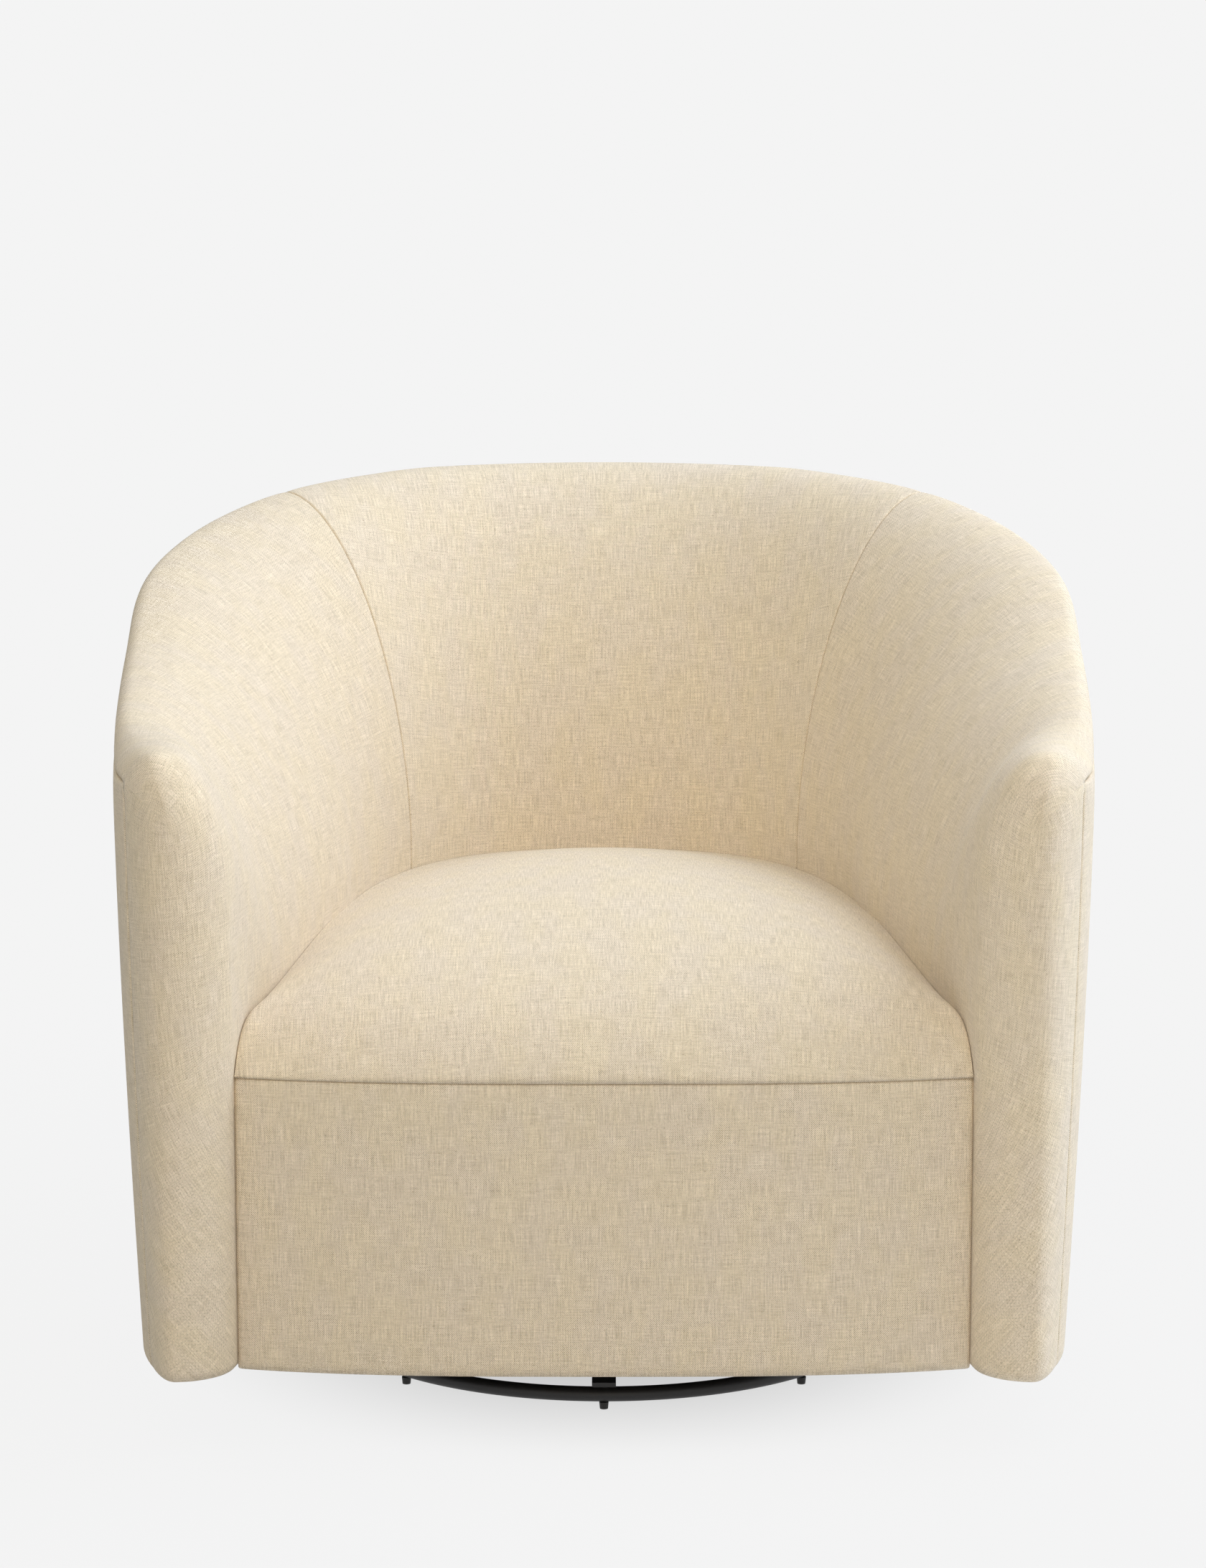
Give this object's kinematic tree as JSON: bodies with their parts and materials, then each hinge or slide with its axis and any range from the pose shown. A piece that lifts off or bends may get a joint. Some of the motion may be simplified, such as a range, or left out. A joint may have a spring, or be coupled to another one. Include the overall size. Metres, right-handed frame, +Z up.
{
  "type": "swivel barrel chair",
  "caption": "Upholstered barrel lounge chair with a wrap-round back and arms, a domed seat and a low ring base on which it swivels.",
  "frame": {"origin": "on the floor, on the swivel axis, under the middle of the chair", "axes": "+Z up along the swivel axis, -Y the way the sitter faces, +X to the right of the picture"},
  "size_m": [0.8102, 0.7999, 0.722],
  "materials": {
    "linen": "matte",
    "hessian": "matte",
    "dust_cloth": "matte",
    "plywood": "matte",
    "bright_steel": "satin",
    "black_steel": "satin",
    "black_plastic": "matte"
  },
  "bodies": {
    "base": {"base_ring": "black_steel", "spoke_front": "black_steel", "spoke_right": "black_steel", "spoke_back": "black_steel", "spoke_left": "black_steel", "lower_race_plate": "black_steel", "king_pin": "bright_steel", "glide_1": "black_plastic", "glide_2": "black_plastic", "glide_3": "black_plastic", "glide_4": "black_plastic", "glide_5": "black_plastic", "glide_6": "black_plastic", "glide_7": "black_plastic", "glide_8": "black_plastic"},
    "ball_retainer": {"ball_retainer": "bright_steel"},
    "seat": {"inside_back_pad": "linen", "inside_arm_pad_right": "linen", "inside_arm_pad_left": "linen", "outside_back_cover": "linen", "outside_arm_cover_right": "linen", "outside_arm_cover_left": "linen", "seat_cushion": "linen", "front_apron": "linen", "inside_back_webbing": "hessian", "inside_arm_webbing_right": "hessian", "inside_arm_webbing_left": "hessian", "seat_deck": "hessian", "dust_cover": "dust_cloth", "top_rail_back": "plywood", "top_rail_right": "plywood", "top_rail_left": "plywood", "rear_post_right": "plywood", "rear_post_left": "plywood", "middle_post_right": "plywood", "middle_post_left": "plywood", "arm_front_board_right": "plywood", "arm_front_board_left": "plywood", "seat_hoop": "plywood", "bottom_panel": "plywood", "bearer_right": "plywood", "bearer_left": "plywood", "front_board": "plywood", "rear_cross_rail": "plywood", "front_clip_channel": "bright_steel", "rear_clip_channel": "bright_steel", "seat_spring_1": "bright_steel", "seat_spring_2": "bright_steel", "seat_spring_3": "bright_steel", "seat_spring_4": "bright_steel", "swivel_bolt_1": "bright_steel", "swivel_bolt_2": "bright_steel", "swivel_bolt_3": "bright_steel", "swivel_bolt_4": "bright_steel", "top_swivel_plate": "black_steel"}
  },
  "joints": [
    {"name": "seat_swivel", "type": "hinge", "parent": "base", "child": "seat", "pos_m": [0, 0, 0.05], "axis": [0, 0, 1], "continuous": true},
    {"name": "retainer_turn", "type": "hinge", "parent": "base", "child": "ball_retainer", "pos_m": [0, 0, 0.05], "axis": [0, 0, 1], "continuous": true}
  ],
  "couplings": [
    {"joint": "retainer_turn", "follows": "seat_swivel", "ratio": 0.5}
  ]
}
